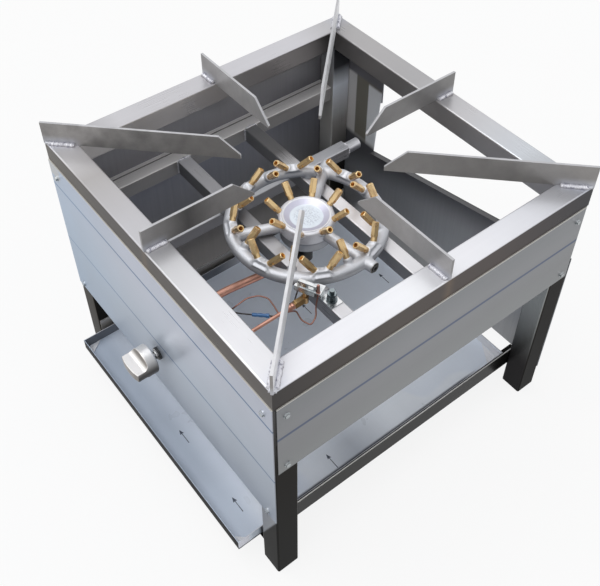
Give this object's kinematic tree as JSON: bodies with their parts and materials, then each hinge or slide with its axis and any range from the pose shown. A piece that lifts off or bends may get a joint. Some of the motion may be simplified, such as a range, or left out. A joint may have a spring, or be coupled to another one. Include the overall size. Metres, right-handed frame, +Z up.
{
  "type": "stock pot stove",
  "caption": "Low square stainless stand with a cast ring burner, upright pot-rest bars, sheet panels, a push-and-turn gas tap and a drip tray that slides out on runners.",
  "frame": {"origin": "centre of the four legs' square footprint, on the floor", "axes": "+Z up, -Y towards the front with the knob, +X to the right seen from the front; the tray slides out along -Y"},
  "size_m": [0.6106, 0.6623, 0.54],
  "materials": {
    "leg_steel": "satin, brushed along the leg",
    "rail_steel": "satin, brushed along the tube",
    "bar_steel": "satin, brushed along the bar",
    "filmed_sheet": "brushed sheet under a thin bluish protective film",
    "tray_sheet": "brushed sheet under a thin bluish protective film",
    "runner_steel": "satin",
    "zinc": "bright zinc plating",
    "cast_aluminium": "as cast, matt",
    "cap_aluminium": "turned, pale and matt",
    "brass": "turned, satin",
    "copper": "drawn copper, slightly dulled",
    "dark_iron": "blackened",
    "black_plastic": "matt black",
    "blue_plastic": "translucent blue sleeve",
    "satin_knob": "satin metallic"
  },
  "bodies": {
    "base": {"leg_front_left": "leg_steel", "leg_front_right": "leg_steel", "leg_rear_right": "leg_steel", "leg_rear_left": "leg_steel", "top_rail_left": "rail_steel", "top_rail_front": "rail_steel", "top_rail_right": "rail_steel", "top_rail_rear": "rail_steel", "pot_bar_left": "bar_steel", "pot_bar_front": "bar_steel", "pot_bar_right": "bar_steel", "pot_bar_rear": "bar_steel", "pot_bar_front_left": "bar_steel", "pot_bar_front_right": "bar_steel", "pot_bar_rear_right": "bar_steel", "pot_bar_rear_left": "bar_steel", "panel_left": "filmed_sheet", "panel_front": "filmed_sheet", "panel_right": "filmed_sheet", "panel_rear": "filmed_sheet", "leg_plugs": "black_plastic", "panel_screws": "zinc", "side_rail_left": "rail_steel", "side_rail_right": "rail_steel", "cross_bar_front": "rail_steel", "cross_bar_rear": "rail_steel", "runner_left": "runner_steel", "runner_right": "runner_steel", "burner_ring": "cast_aluminium", "burner_hub": "cast_aluminium", "burner_cap": "cap_aluminium", "ring_plugs": "dark_iron", "burner_bolts": "zinc", "hub_jets": "brass", "gas_manifold": "rail_steel", "inlet_nipple": "rail_steel", "valve_link_pipe": "copper", "feed_pipe": "copper", "burner_elbow": "dark_iron", "gas_valve": "brass", "shaft_seal": "black_plastic", "pilot_bracket": "zinc", "pilot_burner": "brass", "pilot_stud": "zinc", "pilot_pipe": "copper", "thermocouple": "copper", "ignition_lead": "black_plastic", "lead_crimp": "blue_plastic", "ring_jets_1": "brass", "ring_jets_2": "brass", "ring_jets_3": "brass", "ring_jets_4": "brass", "ring_jets_5": "brass", "ring_jets_6": "brass", "ring_jets_7": "brass", "ring_jets_8": "brass"},
    "tray": {"tray": "tray_sheet"},
    "plunger": {"valve_plunger": "brass"},
    "knob": {"valve_spindle": "bar_steel", "knob": "satin_knob"}
  },
  "joints": [
    {"name": "tray_slide", "type": "slide", "parent": "base", "child": "tray", "axis": [0, -1, 0], "range_m": [-0.038, 0.41]},
    {"name": "knob_push", "type": "slide", "parent": "base", "child": "plunger", "axis": [0, 1, 0], "range_m": [0, 0.004], "stiffness_N_per_m": 1500, "springref_m": -0.002},
    {"name": "knob_turn", "type": "hinge", "parent": "plunger", "child": "knob", "pos_m": [-0.008, -0.3, 0.259], "axis": [0, -1, 0], "range_deg": [0, 180]}
  ]
}
